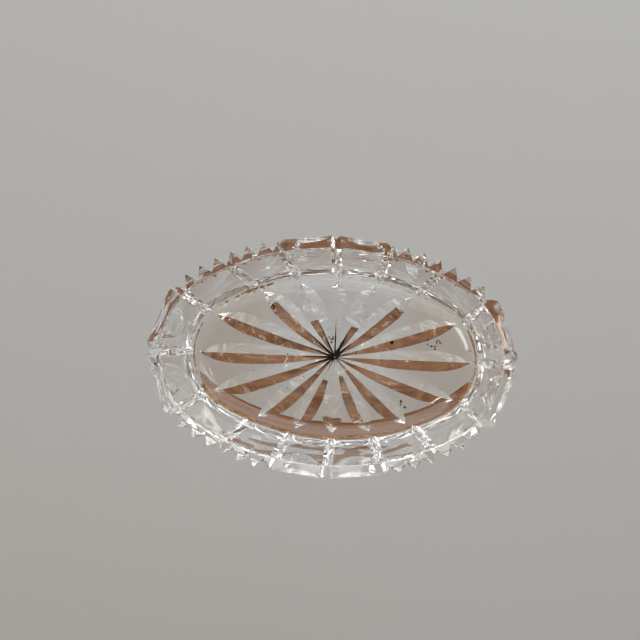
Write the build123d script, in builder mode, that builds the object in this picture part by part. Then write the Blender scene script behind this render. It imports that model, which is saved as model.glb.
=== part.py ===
"""Cut-crystal dappen dish: one thick oval bowl of clear glass, cut all over its outside.

Frame: millimetres, +Z up out of the bowl, X along the long axis, Y across it,
origin in the middle of the flat base.
"""
from build123d import *
from math import asin, atan2, cos, degrees, radians, sin, sqrt, tan
import os

os.makedirs("parts", exist_ok=True)

# ---- Driving dimensions ----------------------------------------------------------------
# The rim seen from above is an oval of four tangent arcs.
half_length = 60.0
half_width = 39.5
end_radius = 32.0

height = 32.0
flare = 8.5              # how far the rim stands out beyond the base, all round
lip = 4.6                # wall thickness at the rim, measured level
floor_thickness = 6.5
heel_radius = 3.0        # outside, where the wall turns under to the base
bowl_radius = 9.0        # inside, where the wall turns into the floor
inner_rim_radius = 0.8

# Directions out of the centre, in one quarter, that the star and the wall cuts share.
# The first slanting cut leans along the wall, to run out in the first notch of the rim.
end_direction = 0
slant_directions = (18.5, 41.5, 64)
slant_directions_at_rim = (22.8, 41.5, 64)
side_direction = 90

# Mitre cuts: straight V grooves up the wall.
mitre_angle = 100.0
mitre_depth = 1.5

# Star under the base: V grooves that are deepest part way out and die away at both ends.
star_angle = 118.0
star_depth = 2.1
star_centre_depth = 0.45
star_overlap = 1.0       # how far a stroke carries on past the centre
star_widest = 0.70       # share of a ray's length at which it is deepest
foot_land = 1.3          # plain ring left between the star and the heel

# Sawtooth rim: in each quarter a run of notches between the end lobe and the side lobe.
notch_count = 7
notch_pitch = 5.5
first_notch = 25.4       # along the rim, from the tip of the long axis
notch_depth = 3.8        # at the top of the rim
notch_angle = 72.0
notch_lean = 13.5        # from upright, so that a notch is shallower lower down

# Plain lobes: a panel on each side of each axis, with a flat on the wall and a lens cut
# over the rim's outer edge.
end_panel = 22.2         # along the rim, from the tip of the long axis
side_panel = 19.5        # along the rim, from the middle of the long side
end_flat_depth = 0.9
side_flat_depth = 0.5
flat_lean = 2.0          # how much more upright than the wall a flat is
lens_radius = 40.0
lens_lean = 52.0         # from upright
end_lens_depth = 1.45
side_lens_depth = 1.2

# ---- Worked out ------------------------------------------------------------------------
end_centre = half_length - end_radius
side_radius = (end_centre**2 + half_width**2 - end_radius**2) / (2 * (half_width - end_radius))
side_centre = side_radius - half_width
join_angle = degrees(atan2(side_centre, end_centre))   # where an end arc meets a side arc
flare_angle = degrees(atan2(flare, height))
end_run = end_radius * radians(join_angle)             # rim length of half an end arc
quarter_run = end_run + side_radius * radians(90 - join_angle)
base_inset = flare + heel_radius * tan(radians(90 - flare_angle) / 2)
up = Vector(0, 0, 1)
clear = 5.0                                            # how far a cutter stands out of the glass


def oval(inset):
    """The rim's oval, drawn this far inside its outer edge."""
    with BuildSketch() as outline:
        with BuildLine():
            CenterArc((end_centre, 0), end_radius - inset, -join_angle, 2 * join_angle)
            CenterArc((0, -side_centre), side_radius - inset, join_angle, 180 - 2 * join_angle)
            CenterArc((-end_centre, 0), end_radius - inset, 180 - join_angle, 2 * join_angle)
            CenterArc((0, side_centre), side_radius - inset, 180 + join_angle, 180 - 2 * join_angle)
        make_face()
    return outline.sketch


def level(angle):
    """The level unit vector at this angle."""
    return Vector(cos(radians(angle)), sin(radians(angle)), 0)


def tilted(angle, lift):
    """A unit vector at this angle round, lifted above the level."""
    return level(angle) * cos(radians(lift)) + up * sin(radians(lift))


def facing(angle, inset=0.0):
    """The point of the oval whose outward normal points at this angle (0 to 90)."""
    if angle <= join_angle:
        return level(angle) * (end_radius - inset) + Vector(end_centre, 0, 0)
    return level(angle) * (side_radius - inset) - Vector(0, side_centre, 0)


def facing_at(run):
    """The outward normal's angle at this length along the rim from the long axis."""
    if run <= end_run:
        return degrees(run / end_radius)
    return join_angle + degrees((run - end_run) / side_radius)


def facing_of(point):
    """The outward normal's angle at a point of the oval in the first quarter."""
    angle = degrees(atan2(point.Y + side_centre, point.X))
    if angle > join_angle:
        return angle
    return degrees(atan2(point.Y, point.X - end_centre))


def towards(direction, inset=0.0):
    """Where a line out of the centre in this direction (0 to 90) crosses the oval."""
    c, s = cos(radians(direction)), sin(radians(direction))
    side_reach = side_radius - inset
    point = level(direction) * (sqrt(side_reach**2 - (side_centre * c) ** 2) - side_centre * s)
    if facing_of(point) > join_angle:
        return point
    end_reach = end_radius - inset
    return level(direction) * (end_centre * c + sqrt(end_reach**2 - (end_centre * s) ** 2))


def v_groove(start, end, outward, angle, depth):
    """A bar that cuts a V groove of this depth along a line on the surface."""
    along = (end - start).normalized()
    across = along.cross(outward).normalized()
    spread = (depth + clear) * tan(radians(angle / 2))
    with BuildPart() as cutter:
        with BuildSketch(Plane(origin=start, x_dir=across, z_dir=along)):
            with BuildLine():
                Polyline((0, depth), (spread, -clear), (-spread, -clear), close=True)
            make_face()
        extrude(amount=(end - start).length)
    return cutter.part


def flat(point, outward):
    """A block that slices off everything outside a plane through the point."""
    with BuildPart() as cutter:
        with BuildSketch(Plane(origin=point, z_dir=outward)):
            Rectangle(2 * height, 2 * height)
        extrude(amount=height)
    return cutter.part


def lens(point, outward, angle, depth):
    """A wheel that hollows a lens-shaped facet this deep into the rim's outer edge."""
    side = up.cross(level(angle))
    hub = point + outward * (lens_radius - depth)
    with BuildPart() as cutter:
        with BuildSketch(Plane(origin=hub, x_dir=side, z_dir=side.cross(outward))):
            Circle(lens_radius)
        extrude(amount=1.5 * clear, both=True)
    return cutter.part


def star_stroke(ray, middle, run, rise, overrun):
    """One stroke of a V wheel, from a ray's deepest point until it has risen this much."""
    across = up.cross(ray)
    spread = (star_depth + clear) * tan(radians(star_angle / 2))
    wheel = (run**2 + rise**2) / (2 * rise)
    hub = Axis(ray * middle + up * (star_depth - wheel), across)
    with BuildPart() as cutter:
        with BuildSketch(Plane(origin=ray * middle, x_dir=across, z_dir=ray)):
            with BuildLine():
                Polyline((0, star_depth), (spread, -clear), (-spread, -clear), close=True)
            make_face()
        revolve(axis=hub, revolution_arc=degrees(asin((run + overrun) / wheel)))
    return cutter.part


def cut_line(direction, direction_at_rim):
    """A ray of the star, in its two strokes, and the mitre cut that carries it up the wall."""
    ray = level(direction)
    length = towards(direction, base_inset + foot_land).length
    middle = star_widest * length
    outer_stroke = star_stroke(ray, middle, length - middle, star_depth, 0)
    inner_stroke = star_stroke(-ray, -middle, middle, star_depth - star_centre_depth, star_overlap)

    foot = towards(direction, flare)
    top = towards(direction_at_rim) + up * height
    overrun = (top - foot).normalized() * clear
    outward = tilted(facing_of(towards(direction)), -flare_angle)
    mitre = v_groove(foot - overrun, top + overrun, outward, mitre_angle, mitre_depth)
    return [outer_stroke, inner_stroke, mitre]


def notch(number):
    """One notch of the sawtooth rim."""
    angle = facing_at(first_notch + number * notch_pitch)
    apex = facing(angle, notch_depth) + up * height
    slope = tilted(angle, notch_lean - 90)
    return v_groove(apex + slope * height / 2, apex - slope * clear, level(angle), notch_angle, 0)


def panel(run, flat_depth, lens_depth):
    """The flat and the lens cut of one plain panel, whose middle is here along the rim."""
    angle = facing_at(run)
    edge = facing(angle, flat_depth) + up * height
    wall_flat = flat(edge, tilted(angle, flat_lean - flare_angle))
    rim_lens = lens(edge, tilted(angle, lens_lean), angle, lens_depth)
    return [wall_flat, rim_lens]


def mirrored(cutter, x_side, y_side):
    """The cutter reflected into another quarter."""
    if x_side < 0:
        cutter = mirror(cutter, about=Plane.YZ)
    if y_side < 0:
        cutter = mirror(cutter, about=Plane.XZ)
    return cutter


# ---- Cutters ---------------------------------------------------------------------------
quarter_cuts = panel(end_panel / 2, end_flat_depth, end_lens_depth)
quarter_cuts += panel(quarter_run - side_panel / 2, side_flat_depth, side_lens_depth)
quarter_cuts += [notch(number) for number in range(notch_count)]
for slant, slant_at_rim in zip(slant_directions, slant_directions_at_rim):
    quarter_cuts += cut_line(slant, slant_at_rim)
cutters = []
for x_side, y_side in ((1, 1), (-1, 1), (-1, -1), (1, -1)):
    cutters += [mirrored(cutter, x_side, y_side) for cutter in quarter_cuts]
for side in (1, -1):
    cutters += [mirrored(cutter, side, 1) for cutter in cut_line(end_direction, end_direction)]
    cutters += [mirrored(cutter, 1, side) for cutter in cut_line(side_direction, side_direction)]

# ---- Dish ------------------------------------------------------------------------------
with BuildPart() as dish:
    # the blank: an oval that flares evenly to the rim, rounded under at the heel
    with BuildSketch():
        add(oval(flare))
    extrude(amount=height, taper=-flare_angle)
    fillet(dish.faces().sort_by(Axis.Z)[0].edges(), radius=heel_radius)

    # the bowl
    with BuildSketch(Plane.XY.offset(height)):
        add(oval(lip))
    extrude(amount=floor_thickness - height, taper=flare_angle, mode=Mode.SUBTRACT)
    floor = dish.faces().filter_by(Axis.Z).sort_by(Axis.Z)[1]
    fillet(floor.edges(), radius=bowl_radius)
    rim = dish.faces().filter_by(Axis.Z).sort_by(Axis.Z)[-1]
    fillet(rim.inner_wires()[0].edges(), radius=inner_rim_radius)

    # the cutting, one stroke of the wheel at a time
    for cutter in cutters:
        add(cutter, mode=Mode.SUBTRACT)

dish.part.label = "dish"
export_step(dish.part, "parts/dish.step")
print("dish", round(dish.part.volume / 1000, 1), "cm3", dish.part.bounding_box().size)
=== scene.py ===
"""Cut-crystal dappen dish, looked at straight down into the bowl.

It stands on a clear sheet over a plain pale floor, so that the star under its base is seen
against light, as it is when the dish is held up. A glowing brown card lies on the floor to
one side, a painted reflection of wood that only the glass sees.
"""
import random
from math import atan2, cos, degrees, pi, radians, sin, sqrt, tan

import bmesh
import bpy
from mathutils import Matrix, Vector


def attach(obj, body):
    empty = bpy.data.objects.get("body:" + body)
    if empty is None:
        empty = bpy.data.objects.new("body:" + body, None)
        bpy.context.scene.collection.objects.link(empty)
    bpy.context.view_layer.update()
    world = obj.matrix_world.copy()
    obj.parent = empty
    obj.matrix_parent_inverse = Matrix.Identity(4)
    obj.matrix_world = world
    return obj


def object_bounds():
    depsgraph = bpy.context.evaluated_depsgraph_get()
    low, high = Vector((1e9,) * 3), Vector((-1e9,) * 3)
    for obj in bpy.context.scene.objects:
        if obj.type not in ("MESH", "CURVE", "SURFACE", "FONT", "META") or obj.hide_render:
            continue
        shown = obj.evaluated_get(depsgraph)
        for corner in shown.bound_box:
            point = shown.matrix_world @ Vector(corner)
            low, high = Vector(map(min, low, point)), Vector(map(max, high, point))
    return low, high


MM = 0.001

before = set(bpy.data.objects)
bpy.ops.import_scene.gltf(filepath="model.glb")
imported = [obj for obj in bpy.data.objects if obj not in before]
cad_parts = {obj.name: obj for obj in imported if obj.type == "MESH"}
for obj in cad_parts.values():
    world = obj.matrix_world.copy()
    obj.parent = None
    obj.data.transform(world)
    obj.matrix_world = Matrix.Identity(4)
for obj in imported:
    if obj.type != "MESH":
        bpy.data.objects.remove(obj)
cad_low, cad_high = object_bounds()
centre = (cad_low + cad_high) / 2
rim_centre = Vector((centre.x, centre.y, cad_high.z))

# The dish's own dimensions, in millimetres, that the residue on it follows.
HALF_LENGTH, HALF_WIDTH, END_RADIUS = 60.0, 39.5, 32.0
HEIGHT, FLARE, HEEL_RADIUS = 32.0, 8.5, 3.0
FLOOR_THICKNESS, BOWL_RADIUS = 6.5, 9.0
BOWL_FLOOR_INSET = 18.3                  # from the rim to the edge of the bowl's flat floor
BOWL_FLOOR_REACH = (41, 20)              # where crumbs can lie on that floor, along X and Y
CUT_DIRECTIONS = (0, 18.5, 41.5, 64, 90)
STAR_DEPTH, STAR_CENTRE_DEPTH = 2.1, 0.45
STAR_WIDEST = 0.70                       # where a groove is deepest, as a share of its length
STAR_HALF_ANGLE = 59.0
FOOT_LAND = 1.3
END_CENTRE = HALF_LENGTH - END_RADIUS
SIDE_RADIUS = (END_CENTRE**2 + HALF_WIDTH**2 - END_RADIUS**2) / (2 * (HALF_WIDTH - END_RADIUS))
SIDE_CENTRE = SIDE_RADIUS - HALF_WIDTH
JOIN_ANGLE = degrees(atan2(SIDE_CENTRE, END_CENTRE))
FLARE_ANGLE = degrees(atan2(FLARE, HEIGHT))
BASE_INSET = FLARE + HEEL_RADIUS * tan(radians(90 - FLARE_ANGLE) / 2)


# ---- Camera ----------------------------------------------------------------------------
def add_camera():
    """Looks down the bowl's own axis, a touch from one end, with the far side of the dish up."""
    lens, sensor = 85.0, 36.0
    dish_share = 0.5805                      # of the picture's width, that the dish fills
    left_share, up_share = 0.017, 0.058      # how far the aim is off the dish, as such shares
    roll, yaw = radians(2.4), radians(2.6)

    dish_length = cad_high.x - cad_low.x
    picture_width = dish_length / dish_share
    distance = lens / sensor * picture_width
    turned = Matrix.Rotation(roll, 3, "Z")
    up, right = turned @ Vector((0, 1, 0)), turned @ Vector((1, 0, 0))
    location = rim_centre + Matrix.Rotation(yaw, 3, "Y") @ Vector((0, 0, distance))
    target = rim_centre + (up * up_share - right * left_share) * picture_width
    back = (location - target).normalized()
    side = up.cross(back).normalized()
    basis = Matrix((side, back.cross(side), back)).transposed()

    data = bpy.data.cameras.new("camera")
    data.lens, data.sensor_width = lens, sensor
    data.clip_start, data.clip_end = 0.01, 20
    camera = bpy.data.objects.new("camera", data)
    camera.matrix_world = Matrix.Translation(location) @ basis.to_4x4()
    bpy.context.collection.objects.link(camera)
    bpy.context.scene.camera = camera


# ---- Materials -------------------------------------------------------------------------
CLEAR_GLASS, FILMED_GLASS = (0.992, 0.988, 0.98, 1), (0.90, 0.82, 0.745, 1)
DARK_DIRT, BROWN_DIRT = (0.008, 0.005, 0.003, 1), (0.05, 0.026, 0.014, 1)
DARK_AMBER, PALE_AMBER = (0.20, 0.095, 0.030, 1), (0.62, 0.38, 0.17, 1)
DARK_CRUMB, BROWN_CRUMB = (0.012, 0.006, 0.003, 1), (0.10, 0.045, 0.018, 1)
# The two wood colours below are emitted by the card on the floor: painted reflection, glowing
# though it is no lamp.
DARK_WOOD_GLOW, PALE_WOOD_GLOW = (0.13, 0.056, 0.024, 1), (0.30, 0.153, 0.080, 1)
PALE_FLOOR = (0.74, 0.735, 0.72, 1)


class Nodes:
    """A material's node tree, with one short call to add a node and wire it up."""

    def __init__(self, name):
        self.material = bpy.data.materials.new(name)
        self.material.use_nodes = True
        self.tree = self.material.node_tree
        self.shader = self.tree.nodes["Principled BSDF"]
        self.output = self.tree.nodes["Material Output"]

    def add(self, kind, settings=None, **inputs):
        """Adds a node. An input is named with _ for a space, or i0, i1 for its number."""
        node = self.tree.nodes.new("ShaderNode" + kind)
        for name, value in (settings or {}).items():
            setattr(node, name, value)
        for name, value in inputs.items():
            numbered = name[0] == "i" and name[1:].isdigit()
            key = int(name[1:]) if numbered else name.replace("_", " ")
            self.plug(node.inputs[key], value)
        return node

    def plug(self, socket, value):
        if isinstance(value, bpy.types.NodeSocket):
            self.tree.links.new(value, socket)
        else:
            socket.default_value = value

    def set(self, **inputs):
        for name, value in inputs.items():
            self.plug(self.shader.inputs[name.replace("_", " ")], value)

    def place(self):
        return self.add("TexCoord").outputs["Object"]

    def maths(self, operation, first, second=0.0):
        return self.add("Math", {"operation": operation}, i0=first, i1=second).outputs[0]

    def band(self, value, low, high):
        """0 at low, 1 at high, smooth between. Low may be the larger of the two."""
        node = self.add("MapRange", {"interpolation_type": "SMOOTHSTEP", "clamp": True},
                        Value=value, From_Min=low, From_Max=high)
        return node.outputs["Result"]

    def noise(self, place, scale, detail=2.0, roughness=0.5, distortion=0.0):
        return self.add("TexNoise", Vector=place, Scale=scale, Detail=detail,
                        Roughness=roughness, Distortion=distortion).outputs["Fac"]

    def blend(self, share, first, second):
        node = self.add("Mix", {"data_type": "RGBA"}, Factor=share)
        self.plug(node.inputs[6], first)
        self.plug(node.inputs[7], second)
        return node.outputs[2]


def crystal():
    """Clear lead glass, hand-polished: faintly wavy, with fine wear where it stands and on
    the rim, and a faint beige film low down, at both ends and along the near side."""
    m = Nodes("crystal")
    place = m.place()
    along, across, height = m.add("SeparateXYZ", Vector=place).outputs

    waves = m.noise(place, 95.0, 1.0)
    bump = m.add("Bump", Strength=0.55, Distance=0.25 * MM, Height=waves)

    stretched = m.add("Mapping", Vector=place, Rotation=(0, 0, 0.5), Scale=(1, 9, 1)).outputs[0]
    scratches = m.band(m.noise(stretched, 420.0, 3.0, 0.7), 0.62, 0.70)
    foot = m.band(height, 0.4 * MM, 0.05 * MM)
    rim = m.band(height, cad_high.z - 0.5 * MM, cad_high.z)
    worn = m.maths("MULTIPLY", scratches, m.maths("MAXIMUM", foot, rim))

    ends = m.band(m.maths("ABSOLUTE", along), 12 * MM, 34 * MM)
    near = m.maths("MULTIPLY", m.band(across, 2 * MM, -18 * MM), 0.75)
    cloudy = m.maths("ADD", 0.55, m.maths("MULTIPLY", m.noise(place, 60.0, 3.0, 0.6), 0.8))
    film = m.maths("MULTIPLY", m.maths("MULTIPLY", m.maths("MAXIMUM", ends, near), cloudy),
                   m.band(height, 12 * MM, 5 * MM))
    m.set(Base_Color=m.blend(film, CLEAR_GLASS, FILMED_GLASS),
          Roughness=m.maths("MULTIPLY", worn, 0.16), IOR=1.54,
          Transmission_Weight=1.0, Normal=bump.outputs[0])
    return m.material


def dirt(name, dark, light, scale):
    """Dried residue: matt, mottled from dark to light, a little lumpy."""
    m = Nodes(name)
    place = m.place()
    mottle = m.band(m.noise(place, scale, 4.0, 0.65), 0.35, 0.65)
    lumps = m.add("Bump", Strength=0.6, Distance=0.1 * MM, Height=m.noise(place, 3 * scale))
    m.set(Base_Color=m.blend(mottle, dark, light), Roughness=m.maths("ADD", 0.55, mottle),
          Specular_IOR_Level=0.25, Normal=lumps.outputs[0])
    return m.material


# ---- Studio ----------------------------------------------------------------------------
# Colour of the surroundings from the horizon, 0, to straight overhead, 1.
SKY = ((0.04, (0.80, 0.82, 0.84)), (0.35, (0.60, 0.60, 0.60)),
       (0.62, (0.24, 0.23, 0.22)), (0.92, (0.05, 0.045, 0.04)))
FLOOR_SIZE = (16, 16)
FLOOR_DROP = 0.40                        # how far the floor lies below the base
SHEET_GAP = 0.2 * MM


def add_softbox(name, location, size, power, colour):
    data = bpy.data.lights.new(name, "AREA")
    data.shape, data.size, data.size_y = "RECTANGLE", size[0], size[1]
    data.energy, data.color = power, colour
    box = bpy.data.objects.new(name, data)
    box.location = location
    box.rotation_euler = (Vector(location) - centre).to_track_quat("Z", "Y").to_euler()
    box.visible_camera = False
    bpy.context.collection.objects.link(box)


def add_world():
    """Pale at the horizon and dark overhead, where the room behind the camera is."""
    world = bpy.data.worlds.new("studio")
    bpy.context.scene.world = world
    world.use_nodes = True
    tree = world.node_tree
    background = tree.nodes["Background"]
    background.inputs["Strength"].default_value = 1.0
    place = tree.nodes.new("ShaderNodeTexCoord")
    split = tree.nodes.new("ShaderNodeSeparateXYZ")
    ramp = tree.nodes.new("ShaderNodeValToRGB")
    tree.links.new(place.outputs["Generated"], split.inputs[0])
    tree.links.new(split.outputs["Z"], ramp.inputs[0])
    tree.links.new(ramp.outputs[0], background.inputs["Color"])
    stops = ramp.color_ramp.elements
    while len(stops) < len(SKY):
        stops.new(0.5)
    for stop, (position, colour) in zip(stops, SKY):
        stop.position, stop.color = position, (*colour, 1)


def staged(name, size, location, material):
    """A flat, level piece of the studio, which isn't part of the object."""
    half_x, half_y = size[0] / 2, size[1] / 2
    signs = ((-1, -1), (1, -1), (1, 1), (-1, 1))
    mesh = bpy.data.meshes.new(name)
    mesh.from_pydata([(half_x * x, half_y * y, 0) for x, y in signs], [], [(0, 1, 2, 3)])
    piece = bpy.data.objects.new(name, mesh)
    piece.location = location
    mesh.materials.append(material)
    bpy.context.collection.objects.link(piece)
    return piece


def add_floor():
    m = Nodes("floor")
    m.set(Base_Color=PALE_FLOOR, Roughness=0.85)
    staged("floor", FLOOR_SIZE, (0, 0, cad_low.z - FLOOR_DROP), m.material)


def add_sheet():
    """The clear sheet that the dish stands on: it lets light through, and mirrors a little."""
    m = Nodes("sheet")
    clear = m.add("BsdfTransparent")
    gloss = m.add("BsdfGlossy", Roughness=0.12)
    fresnel = m.add("Fresnel", IOR=1.25)
    mix = m.add("MixShader", i0=fresnel.outputs[0], i1=clear.outputs[0], i2=gloss.outputs[0])
    m.plug(m.output.inputs[0], mix.outputs[0])
    staged("sheet", FLOOR_SIZE, (0, 0, cad_low.z - SHEET_GAP), m.material)


def add_glowing_wood_card():
    """A brown card with wood grain on the floor to the near side of the dish. It glows by its own
    emission, a painted reflection of wood that no lamp lights. Only the glass sees it.
    """
    m = Nodes("wood_glow_card")
    place = m.add("Mapping", Vector=m.place(), Scale=(1.2, 14, 1)).outputs[0]
    grain = m.band(m.noise(place, 6.0, 3.0, 0.6, 0.8), 0.3, 0.7)
    # Painted light: the wood colours are emitted, so the card glows though it is no lamp.
    glow = m.add("Emission", Color=m.blend(grain, DARK_WOOD_GLOW, PALE_WOOD_GLOW))
    m.plug(m.output.inputs[0], glow.outputs[0])
    near, far, width, thickness = cad_low.y - 22 * MM, -0.80, 1.8, 1 * MM
    middle = (0, (near + far) / 2, cad_low.z - FLOOR_DROP + thickness)
    wood_glow_card = staged("wood_glow_card", (width, near - far), middle, m.material)
    wood_glow_card.visible_camera = wood_glow_card.visible_diffuse = wood_glow_card.visible_shadow = False


# ---- Residue ---------------------------------------------------------------------------
def level(angle):
    return Vector((cos(radians(angle)), sin(radians(angle)), 0))


def oval_point(angle, inset):
    """The point of the oval, this far inside the rim, whose normal points at this angle."""
    turn = angle % 180
    across, sign = min(turn, 180 - turn), 1 if angle % 360 < 180 else -1
    reach, hub = END_RADIUS - inset, Vector((END_CENTRE, 0, 0))
    if across > JOIN_ANGLE:
        reach, hub = SIDE_RADIUS - inset, Vector((0, -SIDE_CENTRE, 0))
    point = hub + level(across) * reach
    east = 1 if angle % 360 < 90 or angle % 360 > 270 else -1
    return Vector((point.x * east, point.y * sign, 0))


def ray_length(direction, inset):
    """How far the oval, this far inside the rim, is from the centre in this direction."""
    best = min((oval_point(90 * step / 400, inset) for step in range(401)),
               key=lambda point: abs(degrees(atan2(point.y, point.x)) - direction))
    return best.length


def valley_height(reach, length):
    """The height of a star groove's valley at this distance from the centre."""
    middle, rise = STAR_WIDEST * length, STAR_DEPTH - STAR_CENTRE_DEPTH
    wheel = (middle**2 + rise**2) / (2 * rise)
    return STAR_DEPTH - wheel + sqrt(wheel**2 - (reach - middle) ** 2)


# The star's 16 rays as (angle, length), in order of angle.
STAR_RAYS = sorted({(turn % 360, ray_length(direction, BASE_INSET + FOOT_LAND))
                    for direction in CUT_DIRECTIONS
                    for turn in (direction, 180 - direction, 180 + direction, -direction)})


def star_height(x, y):
    """How high the ground star reaches above the base plane at this point."""
    best, point = 0.0, Vector((x, y, 0))
    for angle, length in STAR_RAYS:
        along = point.dot(level(angle))
        if 0 < along < length + 1:
            drop = abs(point.dot(level(angle + 90))) / tan(radians(STAR_HALF_ANGLE))
            best = max(best, valley_height(along, length) - drop)
    return best


def add_piece(name, shape, material):
    """Turns a bmesh drawn in millimetres into a piece that rides on the dish."""
    bmesh.ops.scale(shape, vec=(MM, MM, MM), verts=shape.verts)
    bmesh.ops.recalc_face_normals(shape, faces=shape.faces)
    mesh = bpy.data.meshes.new(name)
    shape.to_mesh(mesh)
    shape.free()
    mesh.materials.append(material)
    piece = bpy.data.objects.new(name, mesh)
    bpy.context.collection.objects.link(piece)
    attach(piece, "root")


def skin(shape, rings):
    """Closed skin over a row of rings with the same number of points."""
    rows = [[shape.verts.new(point) for point in ring] for ring in rings]
    for first, second in zip(rows, rows[1:]):
        for i in range(len(first)):
            j = (i + 1) % len(first)
            shape.faces.new((first[i], first[j], second[j], second[i]))
    shape.faces.new(rows[0][::-1])
    shape.faces.new(rows[-1])


def add_groove_residue():
    """Black dirt packed in the bottom of the star's grooves, tapering away from the centre."""
    draw = random.Random(11)
    shape = bmesh.new()
    start, steps = 0.2, 16
    bite, thickness, thinnest = 0.03, 0.29, 0.006    # bite: how far it reaches into the glass
    # How far the dirt reaches from the centre, and how thick it is, for each of the rays.
    reaches = (3, 5.5, 8.5, 11, 13, 14, 13.5, 15, 13, 12.5, 9, 6, 3, 3, 4, 4)
    strengths = (0.3, 0.8, 1.1, 1.3, 0.8, 0.9, 0.9, 0.8, 0.8, 1.0, 0.8, 0.5, 0.35, 0.3, 0.4, 0.35)
    for (angle, length), end, strength in zip(STAR_RAYS, reaches, strengths):
        fill = thickness * strength * draw.uniform(0.85, 1.15)
        ray, across = level(angle), level(angle + 90)
        rings = []
        for step in range(steps + 1):
            share = step / steps
            reach = start + (end - start) * share
            swell = min(0.45 + 4 * share, 1) * (1 - share) ** 0.8
            deep = max(fill * swell * draw.uniform(0.8, 1.15), thinnest)
            top = valley_height(reach, length) + bite
            half = deep * tan(radians(STAR_HALF_ANGLE))
            low = Vector((0, 0, top - deep))
            rings.append((ray * reach + Vector((0, 0, top)), ray * reach + across * half + low,
                          ray * reach - across * half + low))
        skin(shape, rings)
    material = dirt("residue", DARK_DIRT, BROWN_DIRT, 900.0)
    add_piece("groove_residue", shape, material)


def blob(shape, draw, place, size, flatness):
    """One lumpy crumb."""
    made = bmesh.ops.create_icosphere(shape, subdivisions=2, radius=1.0)["verts"]
    turn = Matrix.Rotation(draw.uniform(0, 2 * pi), 3, "Z")
    stretch = draw.uniform(0.7, 1.4)
    for vert in made:
        bump = draw.uniform(0.78, 1.1)
        co = turn @ Vector((vert.co.x * stretch, vert.co.y / stretch, vert.co.z * flatness))
        vert.co = place + co * size * bump


def corner_place(angle, climb, proud):
    """A point in the bowl's rounded corner: climb is 0 at the floor and 75 at the wall."""
    reach = BOWL_RADIUS - proud
    point = oval_point(angle, BOWL_FLOOR_INSET - reach * sin(radians(climb)))
    height = FLOOR_THICKNESS + BOWL_RADIUS - reach * cos(radians(climb))
    return Vector((point.x, point.y, height))


def add_bowl_stain():
    """Broken amber line of dried residue round the corner of the bowl, and crumbs on it."""
    draw = random.Random(5)
    shape = bmesh.new()
    climb, proud, sunk = 42.0, 0.03, -0.03
    # First and last angle, share of the line that is there, and half-width in degrees of climb.
    heavy = ((-42, 34, 0.97, 3.4), (150, 204, 0.95, 2.3), (214, 250, 0.88, 6.5),
             (254, 292, 0.80, 2.6), (104, 122, 0.85, 3.4))
    rings, angle, drift = [], -60.0, 0.0
    while angle < 300:
        share, half = 0.45, 1.1          # where the line is faint
        for first, last, kept, wide in heavy:
            if first <= angle <= last:
                share, half = kept, wide
        drift += draw.uniform(-0.5, 0.5) - 0.1 * drift
        flat = JOIN_ANGLE < min(angle % 180, 180 - angle % 180)
        if draw.random() < share:
            lean = half * draw.uniform(0.4, 1.0)
            section = ((-lean, sunk), (0, 0.05), (lean, sunk), (0, -0.05))
            rings.append([corner_place(angle, climb + drift + side, proud + lift)
                          for side, lift in section])
        else:
            if len(rings) > 2:
                skin(shape, rings)
            rings = []
        angle += 0.3 if flat else 0.9
    if len(rings) > 2:
        skin(shape, rings)
    crumbs = ((232, 246, 24), (108, 114, 16), (-20, 24, 14), (250, 290, 10))
    for first, last, count in crumbs:
        for _ in range(count):
            place = corner_place(draw.uniform(first, last), climb + draw.gauss(0, 5), 0.05)
            blob(shape, draw, place, draw.uniform(0.14, 0.42), 0.45)
    material = dirt("amber_residue", DARK_AMBER, PALE_AMBER, 500.0)
    add_piece("bowl_stain", shape, material)


def add_specks():
    """Small dark crumbs, stuck in the star under the base or lying on the floor of the bowl."""
    draw = random.Random(23)
    shape = bmesh.new()
    # Middle x and y, spread, number of crumbs, and their size.
    clusters = ((19, 6, 0.3, 1, 0.62), (33, 6, 2.6, 11, 0.34), (24, -16, 1.6, 3, 0.50),
                (22, -18, 1.5, 6, 0.32), (-1.3, 6.4, 1.4, 6, 0.34), (-22, 17, 2.0, 6, 0.45),
                (0, 0, 30.0, 34, 0.17), (-20, -6, 14.0, 14, 0.21))
    for x, y, spread, count, size in clusters:
        for _ in range(count):
            at = Vector((x + draw.gauss(0, spread / 2), y + draw.gauss(0, spread / 2), 0))
            if (at.x / BOWL_FLOOR_REACH[0]) ** 2 + (at.y / BOWL_FLOOR_REACH[1]) ** 2 > 1:
                continue
            crumb = size * draw.uniform(0.6, 1.15)
            under = star_height(at.x, at.y)
            at.z = under if under > crumb else FLOOR_THICKNESS + 0.3 * crumb
            blob(shape, draw, at, crumb, 0.5)
    material = dirt("speck", DARK_CRUMB, BROWN_CRUMB, 800.0)
    add_piece("floor_specks", shape, material)


# ---- Dish ------------------------------------------------------------------------------
def dress_dish():
    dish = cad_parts["dish"]
    dish.data.materials.clear()
    dish.data.materials.append(crystal())


add_camera()
add_world()
add_softbox("window", (0.25, 0.95, 0.9), (2.4, 1.3), 20, (0.94, 0.97, 1.0))
add_softbox("overhead", (-0.85, -0.50, 1.05), (0.5, 0.4), 5, (1.0, 0.93, 0.82))
add_floor()
add_sheet()
add_glowing_wood_card()
dress_dish()
add_groove_residue()
add_bowl_stain()
add_specks()

scene = bpy.context.scene
scene.cycles.max_bounces = 24
scene.cycles.transmission_bounces = 24
scene.cycles.glossy_bounces = 12
scene.cycles.transparent_max_bounces = 16
scene.view_settings.view_transform = "Standard"
